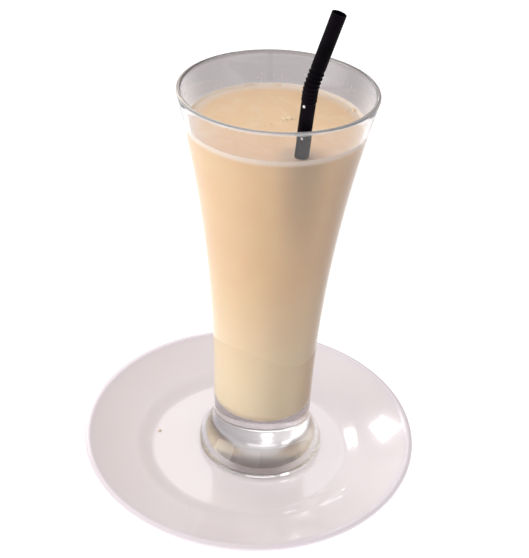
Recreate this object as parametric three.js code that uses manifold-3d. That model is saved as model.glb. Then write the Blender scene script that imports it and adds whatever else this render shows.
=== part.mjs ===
import * as THREE from 'three';
import { mergeVertices } from 'three/addons/utils/BufferGeometryUtils.js';
import Module from 'manifold-3d';

// A tall flared glass of horchata with a bendable straw, standing on its saucer.
// Millimetres, +Z up. The origin is under the middle of the saucer, on the surface it stands on.

const ROUND_SIDES = 64;
const STRAW_SIDES = 16;
const CLEARANCE = 0.3; // left open between pieces that touch
const MERGE_DISTANCE = 1e-4; // vertices closer than this are one

// Heights in SAUCER are above the surface that the foot ring stands on.
const SAUCER = {
  rimRadius: 79,
  lipRadius: 1.5,
  wellRadius: 45, // the flat middle ends here
  wellHeight: 7.5,
  stepRadius: 55, // the short rise round the middle ends here
  stepRise: 1.35,
  brimRise: 10.8,
  brimCurve: 1.6,
  ringInnerRadius: 39.5,
  ringOuterRadius: 44,
  ringDraft: 1.2, // how far the ring's walls lean
  floorUnderside: 3.2,
  bodyThickness: 4.6,
  edgeThickness: 3.0,
  undersideRadii: [48, 53, 59, 65, 71, 75.5],
  topRadii: [75, 71.5, 67.5, 63, 59, 55.5, 53, 51, 49, 47],
};

// Heights in GLASS, DRINK and STRAW are above the underside of the glass.
const GLASS = {
  rimHeight: 186,
  rimRadius: 41.6,
  footRadius: 29.75,
  footEdge: 1.5, // height of the rounded lower edge
  footTop: 17,
  neckRadius: 23.2,
  neckTop: 20,
  flareCurve: 2.15,
  rimWall: 1.9,
  neckWall: 2.4,
  floorHeight: 27,
  cornerRadius: 6,
  recessRadius: 22,
  recessDepth: 1.2,
  standRadius: 25.5,
  offset: new THREE.Vector2(5.5, 4.2), // from the saucer's middle
};

const DRINK = {
  level: 171.5,
};

const STRAW = {
  outerRadius: 2.75,
  wall: 0.35,
  lowerEnd: new THREE.Vector3(3, 14.6, 29.6),
  bend: new THREE.Vector3(11.6, -40.85, 204.8),
  upperEnd: new THREE.Vector3(19.65, -40.85, 232.95),
  bendRadius: 14,
  ridgeCount: 8,
  ridgePitch: 1.7,
  ridgeRadius: 2.95,
  grooveRadius: 2.5,
};

const FOOT_STEPS = 8;
const FLARE_STEPS = 12;
const CORNER_STEPS = 5;
const LIP_STEPS = 4;

function material(color, roughness) {
  return new THREE.MeshStandardMaterial({ color, roughness, metalness: 0 });
}

const materials = {
  porcelain: material(0xece3e4, 0.15),
  glass: material(0xd9dad8, 0.05),
  horchata: material(0xe8cda8, 0.45),
  straw: material(0x0d0a10, 0.35),
};

// Turns a profile of (radius, height) points about +Z.
function turned(profile, sides) {
  const geometry = new THREE.LatheGeometry(profile, sides);
  geometry.rotateX(Math.PI / 2);
  return geometry;
}

// Points on part of a circle in the profile plane, from one angle to another.
function arc(centreRadius, centreHeight, radius, from, to, steps) {
  const points = [];
  for (let step = 0; step <= steps; step += 1) {
    const angle = THREE.MathUtils.lerp(from, to, step / steps);
    points.push(new THREE.Vector2(
      centreRadius + radius * Math.cos(angle),
      centreHeight + radius * Math.sin(angle),
    ));
  }
  return points;
}

function saucerTop(radius) {
  const step = THREE.MathUtils.smoothstep(radius, SAUCER.wellRadius, SAUCER.stepRadius);
  const across = (radius - SAUCER.wellRadius) / (SAUCER.rimRadius - SAUCER.wellRadius);
  return SAUCER.wellHeight + SAUCER.stepRise * step
    + SAUCER.brimRise * Math.max(0, across) ** SAUCER.brimCurve;
}

function saucerUnderside(radius) {
  const outward = (radius - SAUCER.ringOuterRadius) / (SAUCER.rimRadius - SAUCER.ringOuterRadius);
  return saucerTop(radius)
    - THREE.MathUtils.lerp(SAUCER.bodyThickness, SAUCER.edgeThickness, outward);
}

function makeSaucer() {
  const lipCentre = SAUCER.rimRadius - SAUCER.lipRadius;
  const lipHeight = (saucerTop(lipCentre) + saucerUnderside(lipCentre)) / 2;
  const ringFoot = SAUCER.ringOuterRadius + SAUCER.ringDraft;
  const profile = [
    new THREE.Vector2(0, SAUCER.floorUnderside),
    new THREE.Vector2(SAUCER.ringInnerRadius - SAUCER.ringDraft, SAUCER.floorUnderside),
    new THREE.Vector2(SAUCER.ringInnerRadius, 0),
    new THREE.Vector2(SAUCER.ringOuterRadius, 0),
    new THREE.Vector2(ringFoot, saucerUnderside(ringFoot)),
    ...SAUCER.undersideRadii.map((radius) => new THREE.Vector2(radius, saucerUnderside(radius))),
    ...arc(lipCentre, lipHeight, SAUCER.lipRadius, -Math.PI / 2, Math.PI / 2, LIP_STEPS),
    ...SAUCER.topRadii.map((radius) => new THREE.Vector2(radius, saucerTop(radius))),
    new THREE.Vector2(SAUCER.wellRadius, SAUCER.wellHeight),
    new THREE.Vector2(0, SAUCER.wellHeight),
  ];
  return turned(profile, ROUND_SIDES);
}

// The glass narrows from its foot to the neck along half a cosine wave, then flares to the rim.
function glassOuter(height) {
  if (height < GLASS.footTop) {
    const up = (height - GLASS.footEdge) / (GLASS.footTop - GLASS.footEdge);
    const share = 0.5 + 0.5 * Math.cos(Math.PI * Math.max(0, up));
    return THREE.MathUtils.lerp(GLASS.neckRadius, GLASS.footRadius, share);
  }
  const up = Math.max(0, height - GLASS.neckTop) / (GLASS.rimHeight - GLASS.neckTop);
  return THREE.MathUtils.lerp(GLASS.neckRadius, GLASS.rimRadius, up ** GLASS.flareCurve);
}

function glassInner(height) {
  const up = (height - GLASS.floorHeight) / (GLASS.rimHeight - GLASS.floorHeight);
  return glassOuter(height) - THREE.MathUtils.lerp(GLASS.neckWall, GLASS.rimWall, up);
}

// The hollow of the glass from the middle of its floor up to a height, drawn in by an inset.
function hollow(top, inset, steps) {
  const corner = GLASS.floorHeight + GLASS.cornerRadius;
  const points = [
    new THREE.Vector2(0, GLASS.floorHeight + inset),
    ...arc(
      glassInner(corner) - GLASS.cornerRadius,
      corner,
      GLASS.cornerRadius - inset,
      -Math.PI / 2,
      0,
      CORNER_STEPS,
    ),
  ];
  for (let step = 1; step <= steps; step += 1) {
    const height = THREE.MathUtils.lerp(corner, top, step / steps);
    points.push(new THREE.Vector2(glassInner(height) - inset, height));
  }
  return points;
}

function makeGlass() {
  const profile = [
    new THREE.Vector2(0, GLASS.recessDepth),
    new THREE.Vector2(GLASS.recessRadius, GLASS.recessDepth),
    new THREE.Vector2(GLASS.standRadius, 0),
    ...arc(
      GLASS.footRadius - GLASS.footEdge,
      GLASS.footEdge,
      GLASS.footEdge,
      -Math.PI / 2,
      0,
      LIP_STEPS - 1,
    ),
  ];
  for (let step = 1; step <= FOOT_STEPS; step += 1) {
    const height = THREE.MathUtils.lerp(GLASS.footEdge, GLASS.footTop, step / FOOT_STEPS);
    profile.push(new THREE.Vector2(glassOuter(height), height));
  }
  const lipRadius = GLASS.rimWall / 2;
  const lipHeight = GLASS.rimHeight - lipRadius;
  for (let step = 0; step < FLARE_STEPS; step += 1) {
    const height = THREE.MathUtils.lerp(GLASS.neckTop, lipHeight, step / FLARE_STEPS);
    profile.push(new THREE.Vector2(glassOuter(height), height));
  }
  const lipCentre = (glassOuter(lipHeight) + glassInner(lipHeight)) / 2;
  profile.push(...arc(lipCentre, lipHeight, lipRadius, 0, Math.PI, LIP_STEPS));
  profile.push(...hollow(lipHeight, 0, FLARE_STEPS).slice(0, -1).reverse());
  return turned(profile, ROUND_SIDES);
}

// Where the straw's axis runs: straight, one round bend, straight again.
const lowerDirection = STRAW.bend.clone().sub(STRAW.lowerEnd).normalize();
const upperDirection = STRAW.upperEnd.clone().sub(STRAW.bend).normalize();
const bendAngle = lowerDirection.angleTo(upperDirection);
const bendInward = upperDirection.clone()
  .addScaledVector(lowerDirection, -lowerDirection.dot(upperDirection))
  .normalize();
const bendAcross = lowerDirection.clone().cross(bendInward);
const tangentLength = STRAW.bendRadius * Math.tan(bendAngle / 2);
const bendStart = STRAW.bend.distanceTo(STRAW.lowerEnd) - tangentLength;
const bendLength = STRAW.bendRadius * bendAngle;
const strawLength = bendStart + bendLength + STRAW.upperEnd.distanceTo(STRAW.bend) - tangentLength;

// Moves a point of the straight straw, which runs along +Z, to its place on the bent one.
function bendPoint(point) {
  const along = point.z;
  const angle = THREE.MathUtils.clamp((along - bendStart) / STRAW.bendRadius, 0, bendAngle);
  const tangent = lowerDirection.clone().multiplyScalar(Math.cos(angle))
    .addScaledVector(bendInward, Math.sin(angle));
  const normal = bendInward.clone().multiplyScalar(Math.cos(angle))
    .addScaledVector(lowerDirection, -Math.sin(angle));
  return STRAW.lowerEnd.clone()
    .addScaledVector(lowerDirection, Math.min(along, bendStart))
    .addScaledVector(lowerDirection, STRAW.bendRadius * Math.sin(angle))
    .addScaledVector(bendInward, STRAW.bendRadius * (1 - Math.cos(angle)))
    .addScaledVector(tangent, Math.max(0, along - bendStart - bendLength))
    .addScaledVector(normal, point.x)
    .addScaledVector(bendAcross, point.y);
}

function makeStraw() {
  const ridgesLength = STRAW.ridgeCount * STRAW.ridgePitch;
  const ridgesStart = bendStart + (bendLength - ridgesLength) / 2;
  const outside = [
    new THREE.Vector2(STRAW.outerRadius, 0),
    new THREE.Vector2(STRAW.outerRadius, ridgesStart - STRAW.ridgePitch / 2),
  ];
  for (let half = 0; half <= 2 * STRAW.ridgeCount; half += 1) {
    const radius = half % 2 === 0 ? STRAW.grooveRadius : STRAW.ridgeRadius;
    outside.push(new THREE.Vector2(radius, ridgesStart + half * STRAW.ridgePitch / 2));
  }
  outside.push(
    new THREE.Vector2(STRAW.outerRadius, ridgesStart + ridgesLength + STRAW.ridgePitch / 2),
    new THREE.Vector2(STRAW.outerRadius, strawLength),
  );
  const inside = outside.map(({ x, y }) => new THREE.Vector2(x - STRAW.wall, y)).reverse();
  const geometry = turned([...outside, ...inside, outside[0].clone()], STRAW_SIDES);
  const places = geometry.attributes.position;
  const point = new THREE.Vector3();
  for (let index = 0; index < places.count; index += 1) {
    point.fromBufferAttribute(places, index);
    places.setXYZ(index, ...bendPoint(point).toArray());
  }
  return geometry;
}

const wasm = await Module();
wasm.setup();

function toSolid(geometry) {
  const bare = geometry.clone();
  bare.deleteAttribute('normal');
  bare.deleteAttribute('uv');
  const merged = mergeVertices(bare, MERGE_DISTANCE);
  const corners = [];
  for (let first = 0; first < merged.index.count; first += 3) {
    const triangle = [0, 1, 2].map((corner) => merged.index.getX(first + corner));
    if (new Set(triangle).size === 3) {
      corners.push(...triangle);
    }
  }
  return new wasm.Manifold(new wasm.Mesh({
    numProp: 3,
    vertProperties: new Float32Array(merged.attributes.position.array),
    triVerts: new Uint32Array(corners),
  }));
}

function fromSolid(solid) {
  const { vertProperties, triVerts } = solid.getMesh();
  const geometry = new THREE.BufferGeometry();
  geometry.setAttribute('position', new THREE.BufferAttribute(vertProperties, 3));
  geometry.setIndex(new THREE.BufferAttribute(triVerts, 1));
  geometry.computeVertexNormals();
  return geometry;
}

// The drink fills the hollow up to its level and is cut round the straw.
function makeDrink() {
  const profile = hollow(DRINK.level, CLEARANCE, FLARE_STEPS);
  profile.push(new THREE.Vector2(0, DRINK.level));
  const radius = (STRAW.outerRadius + CLEARANCE) / Math.cos(Math.PI / STRAW_SIDES);
  const cutter = new THREE.CylinderGeometry(radius, radius, bendStart, STRAW_SIDES);
  cutter.rotateX(Math.PI / 2);
  cutter.translate(0, 0, bendStart / 2 - CLEARANCE);
  cutter.applyQuaternion(
    new THREE.Quaternion().setFromUnitVectors(new THREE.Vector3(0, 0, 1), lowerDirection),
  );
  cutter.translate(...STRAW.lowerEnd.toArray());
  return fromSolid(toSolid(turned(profile, ROUND_SIDES)).subtract(toSolid(cutter)));
}

function named(name, geometry, finish) {
  const mesh = new THREE.Mesh(geometry, finish);
  mesh.name = name;
  return mesh;
}

const served = new THREE.Group();
served.add(
  named('glass', makeGlass(), materials.glass),
  named('drink', makeDrink(), materials.horchata),
  named('straw', makeStraw(), materials.straw),
);
served.position.set(GLASS.offset.x, GLASS.offset.y, SAUCER.wellHeight + CLEARANCE);

const horchata = new THREE.Group();
horchata.add(named('saucer', makeSaucer(), materials.porcelain), served);

export default horchata;
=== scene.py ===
"""A glass of horchata with its straw, on a saucer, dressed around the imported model. Lengths are in metres."""

import math
import random

import bpy
from mathutils import Matrix, Vector, noise


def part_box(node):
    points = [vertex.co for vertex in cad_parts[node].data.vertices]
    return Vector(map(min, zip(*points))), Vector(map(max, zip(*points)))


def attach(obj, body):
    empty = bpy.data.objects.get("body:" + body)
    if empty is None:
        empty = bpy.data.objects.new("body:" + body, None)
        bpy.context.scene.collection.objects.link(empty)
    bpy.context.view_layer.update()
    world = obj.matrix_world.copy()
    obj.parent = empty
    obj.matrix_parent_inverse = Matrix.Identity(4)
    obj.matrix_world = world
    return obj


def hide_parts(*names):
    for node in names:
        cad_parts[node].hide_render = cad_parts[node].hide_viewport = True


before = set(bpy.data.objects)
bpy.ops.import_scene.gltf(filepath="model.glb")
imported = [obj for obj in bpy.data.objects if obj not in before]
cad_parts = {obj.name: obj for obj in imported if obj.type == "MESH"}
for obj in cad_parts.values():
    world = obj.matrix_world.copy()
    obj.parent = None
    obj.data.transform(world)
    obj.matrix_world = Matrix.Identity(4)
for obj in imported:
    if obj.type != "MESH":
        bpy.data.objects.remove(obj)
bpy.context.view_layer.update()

BODY = "root"
MM = 0.001

# Places that the frame gives
SAUCER_LOW, SAUCER_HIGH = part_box("saucer")
GLASS_LOW, GLASS_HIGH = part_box("glass")
DRINK_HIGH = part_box("drink")[1]
SAUCER_MIDDLE = Vector(((SAUCER_LOW.x + SAUCER_HIGH.x) / 2, (SAUCER_LOW.y + SAUCER_HIGH.y) / 2, 0))
GLASS_BASE = Vector(((GLASS_LOW.x + GLASS_HIGH.x) / 2, (GLASS_LOW.y + GLASS_HIGH.y) / 2, GLASS_LOW.z))

# Saucer, heights above the surface that it stands on
SAUCER_RADIUS = (SAUCER_HIGH.x - SAUCER_LOW.x) / 2
SAUCER_LIP = 1.5 * MM
LIP_ROUNDING = 3.2 * MM  # how far the top curves over to the lip
LIP_DROP = 1.15 * SAUCER_LIP  # how far it falls on the way
LIP_CURVE = 2.2
WELL_RADIUS = 45 * MM
WELL_HEIGHT = 7.5 * MM
STEP_RADIUS = 55 * MM
STEP_RISE = 1.35 * MM
BRIM_RISE = 10.8 * MM
BRIM_CURVE = 1.6
RING_INNER = 39.5 * MM
RING_OUTER = 44 * MM
RING_DRAFT = 1.2 * MM
RING_ROUND = 0.5 * MM
FLOOR_UNDERSIDE = 3.2 * MM
BODY_THICKNESS = 4.6 * MM
EDGE_THICKNESS = 3.0 * MM

# Glass and drink, heights above the underside of the glass
RIM_HEIGHT = GLASS_HIGH.z - GLASS_LOW.z
RIM_RADIUS = 41.6 * MM
RIM_WALL = 1.9 * MM
NECK_WALL = 2.4 * MM
NECK_RADIUS = 23.2 * MM
NECK_TOP = 20 * MM
FLARE_CURVE = 2.15
FOOT_RADIUS = 29.75 * MM
FOOT_EDGE = 1.5 * MM
FOOT_TOP = 17 * MM
FLOOR_HEIGHT = 27 * MM
CORNER_RADIUS = 6 * MM
RECESS_RADIUS = 22 * MM
RECESS_DEPTH = 1.2 * MM
STAND_RADIUS = 25.5 * MM
LEVEL = DRINK_HIGH.z - GLASS_LOW.z
INTO_WALL = 0.12 * MM  # how far the drink reaches into the glass, so that no air shows between them
MENISCUS_RISE = 0.9 * MM
MENISCUS_WIDTH = 1.6 * MM
SWIRL_SCALE, SWIRL_RISE = 120, 0.16  # relief of the surface: waves per metre, and millimetres
RIPPLE_SCALE, RIPPLE_RISE = 380, 0.07  # the same, finer
CLIMB_RISE, CLIMB_REACH = 0.7, 1.1 * MM  # how the drink creeps up the straw: millimetres, and metres

# Straw, points from the middle of the glass's underside
STRAW_RADIUS = 2.75 * MM
STRAW_WALL = 0.35 * MM
STRAW_LOWER_END = Vector((3, 14.6, 29.6)) * MM
STRAW_BEND = Vector((11.6, -40.85, 204.8)) * MM
STRAW_UPPER_END = Vector((19.65, -40.85, 232.95)) * MM
STRAW_BEND_RADIUS = 14 * MM
RIDGE_COUNT = 8
RIDGE_PITCH = 1.7 * MM
RIDGE_RADIUS = 2.95 * MM
GROOVE_RADIUS = 2.5 * MM

# Where the looks fade in, each from one place to the other. The comments say what they are measured from.
BRIM_SHADE_FADE = (72.5 * MM, 77.5 * MM)  # the saucer's axis
BACK_SHADE_FADE = (-12 * MM, 24 * MM)  # the glass's axis, to the back
ABOVE_FADE = (-8 * MM, 2 * MM)  # the drink's level
LIP_FADE = (-1.9 * MM, -0.7 * MM)  # the glass's rim
FOOT_FADE = (15 * MM, 20 * MM)  # the underside of the glass
GROUND_FADE = (0.9 * MM, 1.6 * MM)  # the underside of the glass
FOOT_RIGHT_LIGHT_FADE = (4 * MM, 22 * MM)  # the glass's axis, to the right
FOOT_LEFT_LIGHT_FADE = (-18 * MM, -6 * MM)  # the same
SIDE_FADE = (0.6, 1.0)  # how squarely the glass faces right
LOW_LIGHT_FADE = (10 * MM, 95 * MM)  # the glass's floor
TOP_FADE = (-1.2 * MM, -0.6 * MM)  # the drink's level
FROTH_FADE = (-2.6 * MM, -0.3 * MM)  # the drink's level
FROTH_RING_FADE = (29.5 * MM, 36 * MM)  # the glass's axis
FROTH_FAR_FADE = (-20 * MM, 15 * MM)  # the glass's axis, to the back
WALL_FADE = (35.2 * MM, 36.2 * MM)  # the glass's axis
UNDERSIDE_SHADE_FADE = (0, 0.5 * MM)  # the glass's floor
STRAW_SHADE_FADE = (3 * MM, 13 * MM)  # the straw's lower stretch

# Colours, and pairs of tones that noise mixes
PORCELAIN_TONES = ((0.925, 0.855, 0.88), (0.945, 0.88, 0.905))
# Painted shade: a lilac grey mixed into the glaze towards the saucer's outer edge
PORCELAIN_BRIM_SHADE = (0.86, 0.79, 0.87)
GLASS_TINT = (0.95, 0.945, 0.95)
# Painted shade: a brown grey tint on the side of the glass that faces right
GLASS_RIGHT_SHADE = (0.70, 0.58, 0.47)
GLASS_ABOVE_TINT = (0.91, 0.87, 0.865)
GLASS_LIP_TINT = (0.82, 0.83, 0.85)
# Painted shade: dark grey on the glass above the drink, towards the back
GLASS_BACK_SHADE = (0.40, 0.375, 0.38)
# Painted light and shade on the glass foot: grey in its middle, paler to the left, clear white to the right
FOOT_SHADE_TINT = (0.68, 0.645, 0.66)
FOOT_LEFT_LIGHT = (0.92, 0.93, 0.97)
FOOT_RIGHT_LIGHT = (1.0, 1.0, 1.0)
LAMPS_THROUGH_GLASS = (0.87, 0.87, 0.87, 1)
LIP_TRANSMISSION = 0.6  # the rest of the lip is frosted
DRINK_TONES = ((0.835, 0.60, 0.365), (0.85, 0.63, 0.39))
# Painted light: the drink is paler towards the bottom, where light comes up through the foot and off the saucer
DRINK_LIGHT_LOW = (0.925, 0.785, 0.57)
DRINK_TOP = (0.885, 0.62, 0.38)
DRINK_SWIRL = (0.93, 0.75, 0.53)
# Painted shade: the sunk straw shows as a darker streak in the drink near it
DRINK_STRAW_SHADE = (0.40, 0.31, 0.25)
DRINK_FROTH = (0.92, 0.82, 0.74)
# Painted shade: grey for the drink's bottom, which is seen only in shadow through the foot
DRINK_UNDERSIDE_SHADE = (0.46, 0.42, 0.42)
FROTH_TONES = ((1.0, 0.70, 0.46), (1.0, 0.76, 0.54))
SPLASH_TONES = ((0.80, 0.76, 0.76), (0.92, 0.89, 0.88))
STRAW_TONES = ((0.0015, 0.0008, 0.002), (0.004, 0.002, 0.005))
CRUMB_TONES = ((0.92, 0.72, 0.52), (0.95, 0.80, 0.64))
FLOOR_TONES = ((0.86, 0.86, 0.865), (0.88, 0.88, 0.885))
FLOOR_GLOW = 0.42

# Bubbles on the drink: x and y from the glass's axis and radius, in millimetres
BUBBLES = ((5, 2.6, 1.5), (2.9, 1.9, 1.0), (32, 14, 0.9))
# Clusters of them: x, y and spread in millimetres, count, largest radius in millimetres
BUBBLE_CLUSTERS = (
    (4.6, 2.3, 1.3, 9, 1.0),
    (3, 0.6, 1.2, 5, 0.6),
    (-6.9, 15, 1.6, 4, 0.5),
    (-3.8, -3.2, 1.4, 5, 0.55),
    (-9.6, 8, 2.0, 5, 0.45),
    (31.5, 13, 1.5, 5, 0.6),
    (-21, -6, 3, 6, 0.4),
    (13, -14, 3, 5, 0.4),
)
EDGE_BUBBLES = 260

# Pale dots on the straw and splashed drops on the wall, in degrees and millimetres
DOTS_ON_STRAW = ((197, 235, 0.55), (182.4, 250, 0.5))  # height, angle round the straw, radius
# On the wall: angle round the glass, height, radius
DROPS_ON_WALL = ((135.4, 174.0, 0.42), (101.8, 173.7, 0.4), (88.4, 175.1, 0.35), (132.7, 181.1, 0.35))
FINE_DROPS = 22

# Pale streak on the saucer's brim and crumb in its well, in millimetres from the middle of the glass
TRACE_START, TRACE_END = Vector((-31.8, -49.6)), Vector((-31.0, -56.2))
TRACE_SECTION = ((-1, 0), (-0.55, 0.09), (0, 0.13), (0.55, 0.09), (1, 0))  # share of its half width, rise
CRUMB_PLACE = Vector((-49.75, 1.0, 0))
CRUMB_SHAPE = Vector((0.85, 0.6, 0.45))

# The photograph's view, fitted to its outlines. Angles are in degrees: to the right, down and clockwise.
CAMERA_DISTANCE, CAMERA_HEIGHT = 414.4 * MM, 368.2 * MM
CAMERA_YAW, CAMERA_PITCH, CAMERA_ROLL = -0.245, 33.519, 2.956
FOCAL_PIXELS, FRAME_PIXELS, SENSOR = 1111.2, 558, 36

# Lights: name, (azimuth to the right of +Y, elevation, distance), target, size, power, colour
LIGHTS = (
    ("key_left", (-110, 22, 1.35), (0, 0, 0.1), (0.9, 0.9), 6.1, (0.945, 0.955, 0.93)),
    ("fill_front", (-160, 30, 1.6), (0, 0, 0.1), (1.2, 1.0), 1.45, (1.0, 0.98, 0.96)),
    ("glow_behind", (-2, 43, 1.6), (0, 0, 0), (0.56, 0.4), 1.0, (1.0, 1.0, 1.0)),
    ("window", (-25.5, 39, 1.4), (0, 0, 0.01), (0.15, 0.2), 0.9, (1.0, 0.99, 1.0)),
    ("glow_low", (-38, 22, 1.5), (0, 0, 0.01), (0.5, 0.3), 1.3, (1.0, 0.99, 0.99)),
    ("slit_24", (-5, 23.5, 1.4), (0, 0, 0.01), (0.16, 0.012), 0.07, (1, 1, 1)),
    ("slit_28", (-5, 27.5, 1.4), (0, 0, 0.01), (0.16, 0.012), 0.07, (1, 1, 1)),
)
ROOM_LEFT, ROOM_RIGHT, ROOM_FRONT = (1.2, 1.165, 1.15), (0.25, 0.23, 0.25), (0.25, 0.24, 0.25)
ROOM_CEILING = (0.78, 0.76, 0.76)
BACKDROP = (1.04, 1.04, 1.04)
ROOM_STRENGTH = 0.95

ROUND_SIDES = 256
STRAW_SIDES = 48
SHARP_ANGLE = math.radians(50)
FLOOR_HALF_SIZE = 60.0


def lerp(start, end, share):
    return start + (end - start) * share


def smoothstep(value, low, high):
    share = min(1, max(0, (value - low) / (high - low)))
    return share * share * (3 - 2 * share)


def add_mesh(name, vertices, faces, material, smooth=True):
    """A mesh object that rides on the part's one body."""
    mesh = bpy.data.meshes.new(name)
    mesh.from_pydata([tuple(v) for v in vertices], [], faces)
    mesh.update()
    mesh.polygons.foreach_set("use_smooth", [smooth] * len(mesh.polygons))
    if smooth:
        mesh.set_sharp_from_angle(angle=SHARP_ANGLE)
    mesh.materials.append(material)
    piece = bpy.data.objects.new(name, mesh)
    bpy.context.scene.collection.objects.link(piece)
    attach(piece, BODY)
    return piece


def turned(profile, sides, base=Vector(), closed=False):
    """Vertices and faces of (radius, height) points turned about a vertical axis through base."""
    vertices = []
    rings = []
    for radius, height in profile:
        count = sides if radius > 0 else 1
        rings.append(range(len(vertices), len(vertices) + count))
        for side in range(count):
            angle = 2 * math.pi * side / sides
            vertices.append(base + Vector((radius * math.cos(angle), radius * math.sin(angle), height)))
    following = rings[1:] + rings[:1] if closed else rings[1:]
    faces = []
    for lower, upper in zip(rings, following):
        for side in range(sides):
            after = (side + 1) % sides
            corners = [lower[side % len(lower)], lower[after % len(lower)]]
            corners += [upper[after % len(upper)], upper[side % len(upper)]]
            faces.append(tuple(dict.fromkeys(corners)))
    return vertices, faces


def arc(centre, radius, start, end, steps):
    """Profile points on part of a circle, from one angle in degrees to another."""
    angles = [math.radians(lerp(start, end, step / steps)) for step in range(steps + 1)]
    return [(centre[0] + radius * math.cos(a), centre[1] + radius * math.sin(a)) for a in angles]


def spaced(start, end, count):
    """count values from start to end, without end."""
    return [lerp(start, end, step / count) for step in range(count)]


def new_material(name):
    """An empty material's node tree and its Principled shader."""
    material = bpy.data.materials.new(name)
    material.use_nodes = True
    tree = material.node_tree
    return material, tree, tree.nodes["Principled BSDF"]


def node(tree, kind, **values):
    """A node with its sockets set from in_NAME or in_NUMBER values, and its properties from the rest."""
    made = tree.nodes.new(kind)
    for key, value in values.items():
        if key.startswith("in_"):
            socket = key[3:]
            made.inputs[int(socket) if socket.isdigit() else socket.replace("_", " ")].default_value = value
        else:
            setattr(made, key, value)
    return made


def object_place(tree):
    """The socket with the place of each surface point in the row frame."""
    return node(tree, "ShaderNodeTexCoord").outputs["Object"]


def noise_value(tree, scale, detail=3.0, roughness=0.5, place=None):
    texture = node(tree, "ShaderNodeTexNoise", in_Scale=scale, in_Detail=detail, in_Roughness=roughness)
    tree.links.new(place or object_place(tree), texture.inputs["Vector"])
    return texture.outputs["Fac"]


def mapped(tree, value, low, high, to_low, to_high, smooth=True):
    """value taken from one range to another and held inside it."""
    remap = node(tree, "ShaderNodeMapRange", clamp=True)
    remap.interpolation_type = "SMOOTHSTEP" if smooth else "LINEAR"
    for socket, number in zip(("From Min", "From Max", "To Min", "To Max"), (low, high, to_low, to_high)):
        remap.inputs[socket].default_value = number
    tree.links.new(value, remap.inputs["Value"])
    return remap.outputs["Result"]


def mixed(tree, factor, first, second):
    """Two colours, each a socket or a value, mixed by a factor."""
    mix = node(tree, "ShaderNodeMix", data_type="RGBA")
    tree.links.new(factor, mix.inputs["Factor"])
    colour_inputs = [s for s in mix.inputs if s.type == "RGBA"]
    for socket, colour in zip(colour_inputs, (first, second)):
        if isinstance(colour, bpy.types.NodeSocket):
            tree.links.new(colour, socket)
        else:
            socket.default_value = (*colour, 1)
    return [s for s in mix.outputs if s.type == "RGBA"][0]


def arithmetic(tree, operation, first, second):
    """The result of a sum or product of two sockets or numbers."""
    made = node(tree, "ShaderNodeMath", operation=operation)
    for socket, value in zip(made.inputs, (first, second)):
        if isinstance(value, bpy.types.NodeSocket):
            tree.links.new(value, socket)
        else:
            socket.default_value = value
    return made.outputs[0]


def faded(tree, value, origin, fade, to_low=0, to_high=1):
    """value taken from a fade's range, measured from an origin, to another range."""
    return mapped(tree, value, origin + fade[0], origin + fade[1], to_low, to_high)


def bumped(tree, shader, height, strength, distance):
    bump = node(tree, "ShaderNodeBump", in_Strength=strength, in_Distance=distance)
    tree.links.new(height, bump.inputs["Height"])
    tree.links.new(bump.outputs["Normal"], shader.inputs["Normal"])


def toned(tree, shader, tones, tone_noise, rough_noise, rough_range):
    """Base colour between two tones, and roughness in a range, each by a noise's scale and detail."""
    tone = mapped(tree, noise_value(tree, *tone_noise), 0.3, 0.7, 0, 1)
    tree.links.new(mixed(tree, tone, *tones), shader.inputs["Base Color"])
    roughness = mapped(tree, noise_value(tree, *rough_noise), 0.3, 0.7, *rough_range)
    tree.links.new(roughness, shader.inputs["Roughness"])


def porcelain_material():
    material, tree, shader = new_material("porcelain_glaze")
    cast = mapped(tree, noise_value(tree, 14, 3), 0.35, 0.65, 0, 1)
    colour = mixed(tree, cast, *PORCELAIN_TONES)
    # Painted shade: the glaze turns lilac grey towards the outer edge of the brim
    brim_shade = faded(tree, axis_distance(tree, object_place(tree), SAUCER_MIDDLE), 0, BRIM_SHADE_FADE, 0, 0.6)
    colour = mixed(tree, brim_shade, colour, PORCELAIN_BRIM_SHADE)
    tree.links.new(colour, shader.inputs["Base Color"])
    tree.links.new(mapped(tree, noise_value(tree, 60, 4), 0.3, 0.7, 0.12, 0.20), shader.inputs["Roughness"])
    shader.inputs["IOR"].default_value = 1.5
    shader.inputs["Coat Weight"].default_value = 0.5
    shader.inputs["Coat Roughness"].default_value = 0.04
    bumped(tree, shader, noise_value(tree, 90, 2), 0.12, 0.25 * MM)
    return material


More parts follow.
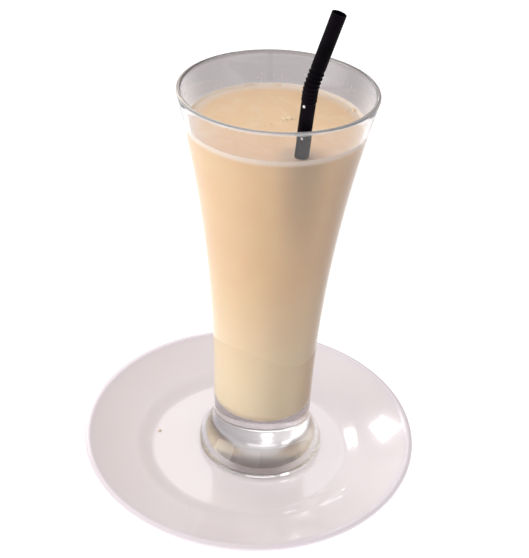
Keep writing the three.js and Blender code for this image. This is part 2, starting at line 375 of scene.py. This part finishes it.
def glass_material():
    material, tree, shader = new_material("clear_glass")
    place = node(tree, "ShaderNodeSeparateXYZ")
    tree.links.new(object_place(tree), place.inputs[0])
    height = place.outputs["Z"]
    behind = faded(tree, place.outputs["Y"], GLASS_BASE.y, BACK_SHADE_FADE)
    above = faded(tree, height, GLASS_BASE.z + LEVEL, ABOVE_FADE)
    lip = faded(tree, height, GLASS_HIGH.z, LIP_FADE)
    foot = faded(tree, height, GLASS_BASE.z, FOOT_FADE, 1, 0)
    right_light = faded(tree, place.outputs["X"], GLASS_BASE.x, FOOT_RIGHT_LIGHT_FADE)
    left_light = faded(tree, place.outputs["X"], GLASS_BASE.x, FOOT_LEFT_LIGHT_FADE, 1, 0)
    from_axis = arithmetic(tree, "SUBTRACT", place.outputs["X"], GLASS_BASE.x)
    facing_right = arithmetic(tree, "DIVIDE", from_axis, axis_distance(tree, object_place(tree)))
    right_shade = faded(tree, facing_right, 0, SIDE_FADE)
    # Painted shade: the glass is tinted brown grey where it faces right, darkening the drink behind it
    tint = mixed(tree, right_shade, GLASS_TINT, GLASS_RIGHT_SHADE)
    tint = mixed(tree, above, tint, GLASS_ABOVE_TINT)
    tint = mixed(tree, lip, tint, GLASS_LIP_TINT)
    # Painted shade: above the drink the glass turns dark grey towards the back
    tint = mixed(tree, arithmetic(tree, "MULTIPLY", behind, above), tint, GLASS_BACK_SHADE)
    # Painted light and shade: the foot is tinted grey in the middle, paler to the left and white to the right
    foot_light_and_shade = mixed(tree, left_light, FOOT_SHADE_TINT, FOOT_LEFT_LIGHT)
    foot_light_and_shade = mixed(tree, right_light, foot_light_and_shade, FOOT_RIGHT_LIGHT)
    tint = mixed(tree, foot, tint, foot_light_and_shade)
    tree.links.new(tint, shader.inputs["Base Color"])
    tree.links.new(mapped(tree, lip, 0, 1, 1, LIP_TRANSMISSION), shader.inputs["Transmission Weight"])
    shader.inputs["IOR"].default_value = 1.5
    smudges = mapped(tree, noise_value(tree, 45, 4, 0.6), 0.5, 0.75, 0.0, 0.04)
    ground = faded(tree, height, GLASS_BASE.z, GROUND_FADE, 0.24, 0)
    tree.links.new(arithmetic(tree, "ADD", smudges, ground), shader.inputs["Roughness"])
    bumped(tree, shader, noise_value(tree, 9, 0), 0.15, 1 * MM)
    lets_lamps_through = node(tree, "ShaderNodeBsdfTransparent")
    lets_lamps_through.inputs["Color"].default_value = LAMPS_THROUGH_GLASS
    choice = node(tree, "ShaderNodeMixShader")
    tree.links.new(node(tree, "ShaderNodeLightPath").outputs["Is Shadow Ray"], choice.inputs["Fac"])
    tree.links.new(shader.outputs[0], choice.inputs[1])
    tree.links.new(lets_lamps_through.outputs[0], choice.inputs[2])
    tree.links.new(choice.outputs[0], tree.nodes["Material Output"].inputs["Surface"])
    return material


def straw_distance(tree, place):
    """How far each point is from the line of the straw's lower stretch."""
    toward = (STRAW_BEND - STRAW_LOWER_END).normalized()
    offset = node(tree, "ShaderNodeVectorMath", operation="SUBTRACT")
    offset.inputs[1].default_value = GLASS_BASE + STRAW_LOWER_END
    tree.links.new(place, offset.inputs[0])
    across = node(tree, "ShaderNodeVectorMath", operation="CROSS_PRODUCT")
    across.inputs[1].default_value = toward
    tree.links.new(offset.outputs[0], across.inputs[0])
    length = node(tree, "ShaderNodeVectorMath", operation="LENGTH")
    tree.links.new(across.outputs[0], length.inputs[0])
    return length.outputs["Value"]


def axis_distance(tree, place, middle=GLASS_BASE):
    """How far each point is from an upright axis, the glass's if no other is given."""
    offset = node(tree, "ShaderNodeVectorMath", operation="SUBTRACT")
    offset.inputs[1].default_value = middle
    tree.links.new(place, offset.inputs[0])
    flat = node(tree, "ShaderNodeVectorMath", operation="MULTIPLY")
    flat.inputs[1].default_value = (1, 1, 0)
    tree.links.new(offset.outputs[0], flat.inputs[0])
    length = node(tree, "ShaderNodeVectorMath", operation="LENGTH")
    tree.links.new(flat.outputs[0], length.inputs[0])
    return length.outputs["Value"]


def drink_material():
    material, tree, shader = new_material("horchata")
    place = object_place(tree)
    split = node(tree, "ShaderNodeSeparateXYZ")
    tree.links.new(place, split.inputs[0])
    height = split.outputs["Z"]
    top = GLASS_BASE.z + LEVEL
    bottom = GLASS_BASE.z + FLOOR_HEIGHT
    clouds = mapped(tree, noise_value(tree, 55, 5, 0.6), 0.35, 0.7, 0, 1)
    colour = mixed(tree, clouds, *DRINK_TONES)
    # Painted light: the drink is paler towards the bottom of the glass
    low_light = faded(tree, height, bottom, LOW_LIGHT_FADE, 1, 0)
    colour = mixed(tree, low_light, colour, DRINK_LIGHT_LOW)
    upper = faded(tree, height, top, TOP_FADE)
    colour = mixed(tree, upper, colour, DRINK_TOP)
    swirls = mapped(tree, noise_value(tree, 130, 5, 0.6), 0.46, 0.70, 0, 0.5)
    colour = mixed(tree, arithmetic(tree, "MULTIPLY", swirls, upper), colour, DRINK_SWIRL)
    # Painted shade: the drink darkens near the sunk straw's line, fading with distance from it
    straw_shade = faded(tree, straw_distance(tree, place), 0, STRAW_SHADE_FADE, 0.55, 0)
    colour = mixed(tree, straw_shade, colour, DRINK_STRAW_SHADE)
    froth = faded(tree, height, top, FROTH_FADE, 0, 0.85)
    edge = faded(tree, axis_distance(tree, place), 0, FROTH_RING_FADE)
    far_side = faded(tree, split.outputs["Y"], GLASS_BASE.y, FROTH_FAR_FADE, 0.12, 1)
    at_wall = faded(tree, axis_distance(tree, place), 0, WALL_FADE)
    edge = arithmetic(tree, "MAXIMUM", arithmetic(tree, "MULTIPLY", edge, far_side), at_wall)
    colour = mixed(tree, arithmetic(tree, "MULTIPLY", froth, edge), colour, DRINK_FROTH)
    # Painted shade: the drink's flat bottom is grey
    under = faded(tree, height, bottom, UNDERSIDE_SHADE_FADE, 0.85, 0)
    colour = mixed(tree, under, colour, DRINK_UNDERSIDE_SHADE)
    tree.links.new(colour, shader.inputs["Base Color"])
    tree.links.new(mapped(tree, noise_value(tree, 160, 3), 0.3, 0.7, 0.3, 0.45), shader.inputs["Roughness"])
    shader.inputs["Specular IOR Level"].default_value = 0.25
    shader.inputs["Subsurface Weight"].default_value = 0.3
    shader.inputs["Subsurface Radius"].default_value = (1.0, 0.7, 0.4)
    shader.inputs["Subsurface Scale"].default_value = 3 * MM
    bumped(tree, shader, noise_value(tree, 300, 4), 0.12, 0.3 * MM)
    return material


def froth_material():
    material, tree, shader = new_material("froth")
    toned(tree, shader, FROTH_TONES, (700, 2), (900, 2), (0.5, 0.65))
    shader.inputs["Specular IOR Level"].default_value = 0.12
    shader.inputs["Subsurface Weight"].default_value = 0.3
    shader.inputs["Subsurface Scale"].default_value = 1 * MM
    bumped(tree, shader, noise_value(tree, 2500, 2), 0.1, 0.05 * MM)
    return material


def splash_material():
    material, tree, shader = new_material("pale_splash")
    toned(tree, shader, SPLASH_TONES, (900, 2), (1200, 2), (0.25, 0.4))
    bumped(tree, shader, noise_value(tree, 2500, 2), 0.1, 0.05 * MM)
    return material


def straw_material():
    material, tree, shader = new_material("dark_straw")
    toned(tree, shader, STRAW_TONES, (120, 4), (300, 3), (0.45, 0.6))
    shader.inputs["Specular IOR Level"].default_value = 0.03
    bumped(tree, shader, noise_value(tree, 900, 2), 0.1, 0.05 * MM)
    return material


def crumb_material():
    material, tree, shader = new_material("crumb")
    toned(tree, shader, CRUMB_TONES, (1500, 3), (2000, 2), (0.5, 0.8))
    bumped(tree, shader, noise_value(tree, 3000, 3), 0.4, 0.1 * MM)
    return material


def floor_material():
    material, tree, shader = new_material("pale_floor")
    toned(tree, shader, FLOOR_TONES, (3, 4), (30, 2), (0.85, 0.95))
    shader.inputs["Emission Color"].default_value = (1, 1, 1, 1)
    shader.inputs["Emission Strength"].default_value = FLOOR_GLOW
    bumped(tree, shader, noise_value(tree, 250, 3), 0.03, 0.3 * MM)
    return material


def saucer_top(radius):
    across = max(0, (radius - WELL_RADIUS) / (SAUCER_RADIUS - WELL_RADIUS))
    step = STEP_RISE * smoothstep(radius, WELL_RADIUS, STEP_RADIUS)
    return WELL_HEIGHT + step + BRIM_RISE * across**BRIM_CURVE


def saucer_underside(radius):
    outward = (radius - RING_OUTER) / (SAUCER_RADIUS - RING_OUTER)
    return saucer_top(radius) - lerp(BODY_THICKNESS, EDGE_THICKNESS, outward)


def saucer_face(radius):
    """The brim's top, which curves over towards its lip."""
    over = max(0, (radius - SAUCER_RADIUS + LIP_ROUNDING) / LIP_ROUNDING)
    return saucer_top(radius) - LIP_DROP * over**LIP_CURVE


def make_saucer(material):
    lip_middle = SAUCER_RADIUS - SAUCER_LIP
    lip_height = (saucer_top(lip_middle) + saucer_underside(lip_middle)) / 2
    ring_foot = RING_OUTER + RING_DRAFT
    profile = [(0, FLOOR_UNDERSIDE)]
    profile += [(r, FLOOR_UNDERSIDE) for r in spaced(5 * MM, RING_INNER - RING_DRAFT - RING_ROUND, 8)]
    profile += [(RING_INNER - RING_DRAFT, FLOOR_UNDERSIDE - RING_ROUND)]
    profile += [(RING_INNER - RING_ROUND, RING_ROUND)]
    profile += arc((RING_INNER + RING_ROUND, RING_ROUND), RING_ROUND, 180, 270, 4)
    profile += arc((RING_OUTER - RING_ROUND, RING_ROUND), RING_ROUND, 270, 360, 4)
    profile += [(r, saucer_underside(r)) for r in spaced(ring_foot, lip_middle, 30)]
    profile += arc((lip_middle, lip_height), SAUCER_LIP, -90, 30, 8)
    profile += [(r, saucer_face(r)) for r in spaced(lip_middle + 0.8 * SAUCER_LIP, WELL_RADIUS, 80)]
    profile += [(r, WELL_HEIGHT) for r in spaced(WELL_RADIUS, 0, 10)]
    profile += [(0, WELL_HEIGHT)]
    vertices, faces = turned(profile, ROUND_SIDES, SAUCER_MIDDLE)
    saucer = add_mesh("saucer_porcelain", vertices, faces, material)
    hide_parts("saucer")
    return saucer


def glass_outer(height):
    if height < FOOT_TOP:
        up = max(0, (height - FOOT_EDGE) / (FOOT_TOP - FOOT_EDGE))
        return lerp(NECK_RADIUS, FOOT_RADIUS, 0.5 + 0.5 * math.cos(math.pi * up))
    up = max(0, height - NECK_TOP) / (RIM_HEIGHT - NECK_TOP)
    return lerp(NECK_RADIUS, RIM_RADIUS, up**FLARE_CURVE)


def glass_inner(height):
    up = (height - FLOOR_HEIGHT) / (RIM_HEIGHT - FLOOR_HEIGHT)
    return glass_outer(height) - lerp(NECK_WALL, RIM_WALL, up)


def hollow(top, inset, steps):
    """The glass's hollow from the middle of its floor up to a height, drawn in by inset."""
    corner = FLOOR_HEIGHT + CORNER_RADIUS
    corner_middle = glass_inner(corner) - CORNER_RADIUS
    points = [(0, FLOOR_HEIGHT + inset)]
    points += [(r, FLOOR_HEIGHT + inset) for r in spaced(corner_middle / 6, corner_middle, 5)]
    points += arc((corner_middle, corner), CORNER_RADIUS - inset, -90, 0, 12)
    points += [(glass_inner(h) - inset, h) for h in spaced(corner, top, steps)[1:]]
    return points


def make_glass(material):
    lip = RIM_WALL / 2
    lip_height = RIM_HEIGHT - lip
    lip_middle = (glass_outer(lip_height) + glass_inner(lip_height)) / 2
    profile = [(0, RECESS_DEPTH)]
    profile += [(r, RECESS_DEPTH) for r in spaced(RECESS_RADIUS / 6, RECESS_RADIUS, 5)]
    profile += [
        (lerp(RECESS_RADIUS, STAND_RADIUS, share), RECESS_DEPTH * (1 - smoothstep(share, 0, 1)))
        for share in spaced(0, 1, 8)
    ]
    profile += [(STAND_RADIUS, 0)]
    profile += arc((FOOT_RADIUS - FOOT_EDGE, FOOT_EDGE), FOOT_EDGE, -90, 0, 8)
    profile += [(glass_outer(h), h) for h in spaced(FOOT_EDGE, FOOT_TOP, 24)[1:]]
    profile += [(glass_outer(h), h) for h in spaced(FOOT_TOP, lip_height, 70)]
    profile += arc((lip_middle, lip_height), lip, 0, 180, 12)
    profile += hollow(lip_height, 0, 60)[::-1]
    vertices, faces = turned(profile, ROUND_SIDES, GLASS_BASE)
    glass = add_mesh("glass_clear", vertices, faces, material)
    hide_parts("glass")
    return glass


def straw_at_level():
    """Where the straw's axis meets the drink's surface, from the middle of the glass's underside."""
    share = (LEVEL - STRAW_LOWER_END.z) / (STRAW_BEND.z - STRAW_LOWER_END.z)
    return STRAW_LOWER_END.lerp(STRAW_BEND, share)


def surface_relief(x, y):
    """How far the drink's surface stands above its level, at a place measured from the glass's axis."""
    swirl = noise.noise(Vector((x, y, 0)) * SWIRL_SCALE) * SWIRL_RISE
    ripple = noise.noise(Vector((x, y, 3)) * RIPPLE_SCALE) * RIPPLE_RISE
    entry = straw_at_level()
    gap = math.hypot(x - entry.x, y - entry.y) - STRAW_RADIUS
    climb = CLIMB_RISE * math.exp(-max(0, gap) / CLIMB_REACH)
    return (swirl + ripple + climb) * MM


def make_drink(material):
    wall = glass_inner(LEVEL) + INTO_WALL
    profile = hollow(LEVEL, -INTO_WALL, 60)
    profile += [(wall, LEVEL), (wall, LEVEL + MENISCUS_RISE)]
    side_count = len(profile)
    for share in spaced(0, 1, 8)[1:]:
        profile.append((wall - INTO_WALL - MENISCUS_WIDTH * share, LEVEL + MENISCUS_RISE * (1 - share) ** 2))
    inner_edge = wall - INTO_WALL - MENISCUS_WIDTH
    profile += [(r, LEVEL) for r in spaced(inner_edge, 0, 60)]
    profile += [(0, LEVEL)]
    vertices, faces = turned(profile, ROUND_SIDES)
    side_vertices = 1 + (side_count - 1) * ROUND_SIDES
    for index in range(side_vertices, len(vertices)):
        vertex = vertices[index]
        inward = smoothstep(wall - vertex.xy.length, INTO_WALL, INTO_WALL + MENISCUS_WIDTH)
        vertex.z += inward * surface_relief(vertex.x, vertex.y)
    vertices = [GLASS_BASE + v for v in vertices]
    drink = add_mesh("horchata_drink", vertices, faces, material)
    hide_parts("drink")
    return drink


class StrawRoute:
    """The straw's axis: straight, one round bend, straight again."""

    def __init__(self):
        self.low = (STRAW_BEND - STRAW_LOWER_END).normalized()
        high = (STRAW_UPPER_END - STRAW_BEND).normalized()
        self.angle = self.low.angle(high)
        self.inward = (high - self.low * self.low.dot(high)).normalized()
        self.across = self.low.cross(self.inward)
        tangent = STRAW_BEND_RADIUS * math.tan(self.angle / 2)
        self.bend_start = (STRAW_BEND - STRAW_LOWER_END).length - tangent
        self.bend_length = STRAW_BEND_RADIUS * self.angle
        self.length = self.bend_start + self.bend_length + (STRAW_UPPER_END - STRAW_BEND).length - tangent

    def place(self, radius, turn, along):
        """The point at a radius and an angle round the axis, at a distance along it."""
        angle = min(self.angle, max(0, (along - self.bend_start) / STRAW_BEND_RADIUS))
        tangent = self.low * math.cos(angle) + self.inward * math.sin(angle)
        normal = self.inward * math.cos(angle) - self.low * math.sin(angle)
        straight = min(along, self.bend_start) + STRAW_BEND_RADIUS * math.sin(angle)
        middle = STRAW_LOWER_END + self.low * straight
        middle += self.inward * STRAW_BEND_RADIUS * (1 - math.cos(angle))
        middle += tangent * max(0, along - self.bend_start - self.bend_length)
        return GLASS_BASE + middle + (normal * math.cos(turn) + self.across * math.sin(turn)) * radius


def straw_profile(route):
    """Radius and distance along the straw of its outside, with the ridges of its bendable stretch."""
    ridges_length = RIDGE_COUNT * RIDGE_PITCH
    start = route.bend_start + (route.bend_length - ridges_length) / 2
    middle = (RIDGE_RADIUS + GROOVE_RADIUS) / 2
    swing = (RIDGE_RADIUS - GROOVE_RADIUS) / 2
    points = [(STRAW_RADIUS, along) for along in spaced(0, start - RIDGE_PITCH / 2, 40)]
    points += [(STRAW_RADIUS, start - RIDGE_PITCH / 2)]
    steps = 8 * RIDGE_COUNT
    for step in range(steps + 1):
        turn = 2 * math.pi * RIDGE_COUNT * step / steps
        points.append((middle - swing * math.cos(turn), start + ridges_length * step / steps))
    end = start + ridges_length + RIDGE_PITCH / 2
    points += [(STRAW_RADIUS, along) for along in spaced(end, route.length, 10)]
    points += [(STRAW_RADIUS, route.length)]
    return points


def make_straw(material, route):
    outside = straw_profile(route)
    inside = [(radius - STRAW_WALL, along) for radius, along in outside][::-1]
    flat, faces = turned(outside + inside, STRAW_SIDES, closed=True)
    vertices = [route.place(v.xy.length, math.atan2(v.y, v.x), v.z) for v in flat]
    straw = add_mesh("drinking_straw", vertices, faces, material)
    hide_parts("straw")
    return straw


def ball(steps):
    """Vertices and faces of a unit ball with 2 * steps sides."""
    profile = [(math.cos(math.radians(a)), math.sin(math.radians(a))) for a in spaced(-90, 90, steps)[1:]]
    return turned([(0, -1), *profile, (0, 1)], 2 * steps)


def add_balls(name, places, material, steps=5):
    """One mesh of small balls, each given as its middle, its radius and its height as a share of that."""
    shape, shape_faces = ball(steps)
    vertices = []
    faces = []
    for middle, radius, flatness in places:
        first = len(vertices)
        vertices += [middle + Vector((v.x, v.y, v.z * flatness)) * radius for v in shape]
        faces += [tuple(first + corner for corner in face) for face in shape_faces]
    piece = add_mesh(name, vertices, faces, material)
    return piece


def on_surface(x, y):
    """The point of the drink's surface above a place measured from the glass's axis."""
    return GLASS_BASE + Vector((x, y, LEVEL + surface_relief(x, y)))


def make_froth(material):
    """Bubbles that float in small clusters, and finer ones that gather along the glass."""
    draw = random.Random(7)
    places = [(on_surface(x * MM, y * MM), radius * MM, 0.5) for x, y, radius in BUBBLES]
    for x, y, spread, count, size in BUBBLE_CLUSTERS:
        for _ in range(count):
            dx = draw.gauss(0, spread)
            dy = draw.gauss(0, spread * 0.7)
            radius = draw.uniform(0.5, 1.0) * size * MM
            places.append((on_surface((x + dx) * MM, (y + dy) * MM), radius, 0.55))
    edge = glass_inner(LEVEL)
    for _ in range(EDGE_BUBBLES):
        angle = draw.uniform(0, 2 * math.pi)
        radius = draw.uniform(0.15, 0.4) * MM
        inset = draw.expovariate(1 / 0.6) * MM + radius
        reach = edge - inset
        climb = MENISCUS_RISE * max(0, 1 - inset / MENISCUS_WIDTH) ** 2
        place = GLASS_BASE + Vector((reach * math.cos(angle), reach * math.sin(angle), LEVEL + climb))
        places.append((place, radius, 0.6))
    return add_balls("surface_froth", places, material, 8)


def make_crumb(material):
    """A small crumb on the saucer, left of the glass."""
    middle = GLASS_BASE + CRUMB_PLACE * MM
    middle.z = saucer_top((middle - SAUCER_MIDDLE).xy.length) + 0.35 * MM
    shape, faces = ball(8)
    vertices = []
    for v in shape:
        rough = 1 + 0.35 * noise.noise(v * 2.3) + 0.15 * noise.noise(v * 6)
        vertices.append(middle + v * CRUMB_SHAPE * rough * MM)
    crumb = add_mesh("crumb", vertices, faces, material)
    return crumb


def make_drops(material):
    """Small pale dots on the straw, and splashes of the drink inside the empty part of the glass."""
    places = []
    for height, turn, radius in DOTS_ON_STRAW:
        share = (height * MM - STRAW_LOWER_END.z) / (STRAW_BEND.z - STRAW_LOWER_END.z)
        angle = math.radians(turn)
        outward = Vector((math.cos(angle), math.sin(angle), 0)) * STRAW_RADIUS
        places.append((GLASS_BASE + STRAW_LOWER_END.lerp(STRAW_BEND, share) + outward, radius * MM, 1.1))
    draw = random.Random(19)
    on_wall = list(DROPS_ON_WALL)
    for _ in range(FINE_DROPS):
        on_wall.append((draw.uniform(0, 360), draw.uniform(173.5, 180), draw.uniform(0.12, 0.25)))
    for turn, height, radius in on_wall:
        angle = math.radians(turn)
        reach = glass_inner(height * MM) - 0.2 * radius * MM
        place = Vector((reach * math.cos(angle), reach * math.sin(angle), height * MM))
        places.append((GLASS_BASE + place, radius * MM, 1.2))
    return add_balls("pale_dots_and_drops", places, material, 6)


def make_brim_streak(material):
    """A short pale raised streak on the front of the saucer's brim."""
    steps = 24
    row = len(TRACE_SECTION)
    vertices = []
    for step in range(steps + 1):
        share = step / steps
        swell = math.sin(math.pi * share)
        middle = TRACE_START.lerp(TRACE_END, share) + Vector((0.45 * swell, 0))
        width = 0.42 * swell**0.5 + 0.02
        for across, rise in TRACE_SECTION:
            place = GLASS_BASE + Vector((middle.x + across * width, middle.y, 0)) * MM
            place.z = saucer_top((place - SAUCER_MIDDLE).xy.length) + (rise * swell - 0.02) * MM
            vertices.append(place)
    faces = []
    for step in range(steps):
        for side in range(row - 1):
            corner = step * row + side
            faces.append((corner, corner + 1, corner + row + 1, corner + row)[::-1])
    pale_mark = add_mesh("pale_brim_streak", vertices, faces, material)
    return pale_mark


def make_floor(material):
    size = FLOOR_HALF_SIZE
    mesh = bpy.data.meshes.new("floor")
    corners = [(-size, -size, 0), (size, -size, 0), (size, size, 0), (-size, size, 0)]
    mesh.from_pydata(corners, [], [(0, 1, 2, 3)])
    mesh.materials.append(material)
    floor = bpy.data.objects.new("floor", mesh)
    bpy.context.scene.collection.objects.link(floor)


def make_camera():
    """The photograph's camera, as fitted to its outlines."""
    yaw, pitch, roll = (math.radians(angle) for angle in (CAMERA_YAW, CAMERA_PITCH, CAMERA_ROLL))
    forward = Vector((math.sin(yaw) * math.cos(pitch), math.cos(yaw) * math.cos(pitch), -math.sin(pitch)))
    level = Vector((math.cos(yaw), -math.sin(yaw), 0))
    below = forward.cross(level)
    right = level * math.cos(roll) - below * math.sin(roll)
    down = level * math.sin(roll) + below * math.cos(roll)
    turn = Matrix((right, -down, -forward)).transposed()
    data = bpy.data.cameras.new("camera")
    data.sensor_fit = "VERTICAL"
    data.sensor_height = SENSOR
    data.lens = FOCAL_PIXELS / FRAME_PIXELS * SENSOR
    data.clip_start = 0.01
    camera = bpy.data.objects.new("camera", data)
    place = GLASS_BASE + Vector((0, -CAMERA_DISTANCE, CAMERA_HEIGHT))
    camera.matrix_world = Matrix.Translation(place) @ turn.to_4x4()
    bpy.context.scene.collection.objects.link(camera)
    bpy.context.scene.camera = camera


def add_light(name, place, target, size, power, colour):
    data = bpy.data.lights.new(name, "AREA")
    data.shape = "RECTANGLE"
    data.size, data.size_y = size
    data.energy = power
    data.color = colour
    light = bpy.data.objects.new(name, data)
    light.location = place
    light.rotation_euler = (Vector(target) - Vector(place)).to_track_quat("-Z", "Y").to_euler()
    bpy.context.scene.collection.objects.link(light)


def around(azimuth, elevation, distance):
    """A point seen from the object at an azimuth to the right of +Y and an elevation, in degrees."""
    turn, rise = math.radians(azimuth), math.radians(elevation)
    direction = Vector((math.sin(turn) * math.cos(rise), math.cos(turn) * math.cos(rise), math.sin(rise)))
    return direction * distance


def make_light():
    """Soft daylight from the left, glows and small windows behind, and a pale room, darker to the right."""
    for name, (azimuth, elevation, distance), target, size, power, colour in LIGHTS:
        add_light(name, around(azimuth, elevation, distance), target, size, power, colour)
    world = bpy.data.worlds.new("room")
    world.use_nodes = True
    tree = world.node_tree
    direction = node(tree, "ShaderNodeSeparateXYZ")
    tree.links.new(node(tree, "ShaderNodeTexCoord").outputs["Generated"], direction.inputs[0])
    across = mapped(tree, direction.outputs["X"], -0.8, 0.8, 0, 1)
    toward = mapped(tree, direction.outputs["Y"], -0.9, 0.3, 0.45, 0)
    rise = mapped(tree, direction.outputs["Z"], 0.0, 0.9, 0, 1)
    walls = mixed(tree, across, ROOM_LEFT, ROOM_RIGHT)
    walls = mixed(tree, toward, walls, ROOM_FRONT)
    sky = mixed(tree, rise, walls, ROOM_CEILING)
    seen = node(tree, "ShaderNodeLightPath").outputs["Is Camera Ray"]
    tree.links.new(mixed(tree, seen, sky, BACKDROP), tree.nodes["Background"].inputs["Color"])
    tree.nodes["Background"].inputs["Strength"].default_value = ROOM_STRENGTH
    bpy.context.scene.world = world
    bpy.context.scene.view_settings.view_transform = "Standard"


make_camera()
make_saucer(porcelain_material())
make_glass(glass_material())
make_drink(drink_material())
make_straw(straw_material(), StrawRoute())
froth = froth_material()
make_froth(froth)
splash = splash_material()
make_drops(splash)
make_brim_streak(splash)
make_crumb(crumb_material())
make_floor(floor_material())
make_light()
